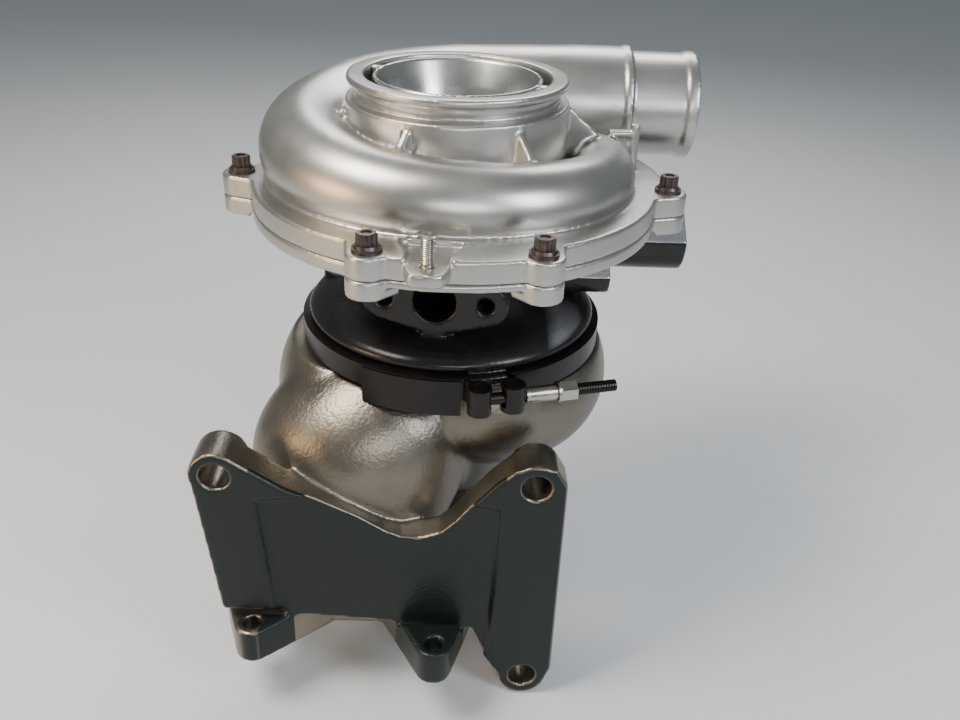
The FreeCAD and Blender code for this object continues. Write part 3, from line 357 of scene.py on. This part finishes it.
# ---- castings with rounded corners ---------------------------------------------
def working_copy(node_name):
    """A loose, selected copy of a node's mesh with its doubled points merged."""
    source = nodes[node_name]
    piece = source.copy()
    piece.data = source.data.copy()
    piece.name = node_name + "_casting"
    for key in list(piece.keys()):
        del piece[key]
    bpy.context.scene.collection.objects.link(piece)
    piece.parent = None
    bpy.ops.object.select_all(action="DESELECT")
    piece.select_set(True)
    bpy.context.view_layer.objects.active = piece
    bpy.ops.object.mode_set(mode="EDIT")
    bpy.ops.mesh.select_all(action="SELECT")
    bpy.ops.mesh.remove_doubles(threshold=DOUBLED)
    bpy.ops.object.mode_set(mode="OBJECT")
    return piece


def fade(distance, width):
    """Rises from 0 at no distance to 1 at the given width."""
    return min(1.0, max(0.0, distance / width))


def soft_zone(point):
    """How far a point of the turbine housing lies in its rounded body, 0 to 1."""
    x, y, z = (value / MM for value in point)
    behind_plate = fade(y - BEHIND_PLATE_Y, BEHIND_PLATE_FADE)
    above_flange = fade(z - ABOVE_FLANGE_Z, ABOVE_FLANGE_FADE)
    below_joint = fade(BELOW_JOINT_Z - z, BELOW_JOINT_FADE)
    off_pipe = fade(math.hypot(x, y) - OFF_PIPE_R, OFF_PIPE_FADE)
    return behind_plate * above_flange * below_joint * off_pipe


def cast_skin(node_name, voxel_mm, passes, keep_faces, zone=None, zone_passes=0):
    """A copy of a casting whose corners are rounded as a mould leaves them.

    It is rebuilt on a grid of voxel_mm, smoothed all over in so many passes, then
    smoothed further where the zone says, and thinned to keep_faces triangles.
    """
    piece = working_copy(node_name)
    remesh = piece.modifiers.new("remesh", "REMESH")
    remesh.mode = "VOXEL"
    remesh.voxel_size = voxel_mm * MM
    bpy.ops.object.modifier_apply(modifier=remesh.name)
    steps = [("smooth", passes, "")]
    if zone:
        group = piece.vertex_groups.new(name="zone")
        for vertex in piece.data.vertices:
            weight = zone(vertex.co)
            if weight > 0:
                group.add([vertex.index], weight, "REPLACE")
        steps.append(("blend", zone_passes, group.name))
    for name, count, group_name in steps:
        smooth = piece.modifiers.new(name, "SMOOTH")
        smooth.factor = SMOOTHING
        smooth.iterations = count
        smooth.vertex_group = group_name
        bpy.ops.object.modifier_apply(modifier=smooth.name)
    triangles = sum(len(face.vertices) - 2 for face in piece.data.polygons)
    thin = piece.modifiers.new("thin", "DECIMATE")
    thin.ratio = min(1.0, keep_faces / triangles)
    bpy.ops.object.modifier_apply(modifier=thin.name)
    bpy.ops.object.shade_smooth()
    dress(piece, slot_of[node_name])
    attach(piece, "root")
    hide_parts(node_name)


cast_skin("compressor_housing", 1.0, 6, 190000)
cast_skin("compressor_backplate", 1.0, 4, 120000)
cast_skin("inlet_shroud_ring", 0.7, 5, 120000)
cast_skin("bearing_housing", 1.0, 6, 190000)
cast_skin("turbine_housing", 1.2, 9, 190000, soft_zone, 60)


# ---- stage -----------------------------------------------------------------------
def lay_floor():
    bpy.ops.mesh.primitive_plane_add(size=FLOOR_SIZE, location=(0, 0, -FLOOR_DROP))
    floor = bpy.context.active_object
    floor.name = "floor"
    floor.data.materials.append(materials["floor"])


def light_studio():
    """Cool air all round, a warm key from the upper left and fill from every other side."""
    world = bpy.data.worlds.new("studio")
    world.use_nodes = True
    air = world.node_tree.nodes["Background"]
    air.inputs["Color"].default_value = linear(AIR_COLOUR)
    air.inputs["Strength"].default_value = AIR_STRENGTH
    bpy.context.scene.world = world
    soft_light("key", (-0.55, -0.25, 1.15), PART_MIDDLE, (0.45, 0.45), 14.5, "#FFF8EE")
    soft_light("side", (0.8, -0.75, 0.8), PART_MIDDLE, (0.35, 0.5), 8.5, "#EEF4FF")
    soft_light("back", (0.1, 0.9, 1.1), (0, 0, 0.25), (0.9, 0.5), 9, "#FFFFFF")
    soft_light("front", (0.15, -1.1, 0.55), (0, 0, 0.2), (0.5, 0.25), 3.0, "#FFFFFF")
    soft_light("warm", (-0.95, -0.5, 0.35), (0, 0, 0.15), (0.35, 0.35), 4.5, "#FFD7A1")


lay_floor()
light_studio()
make_camera()
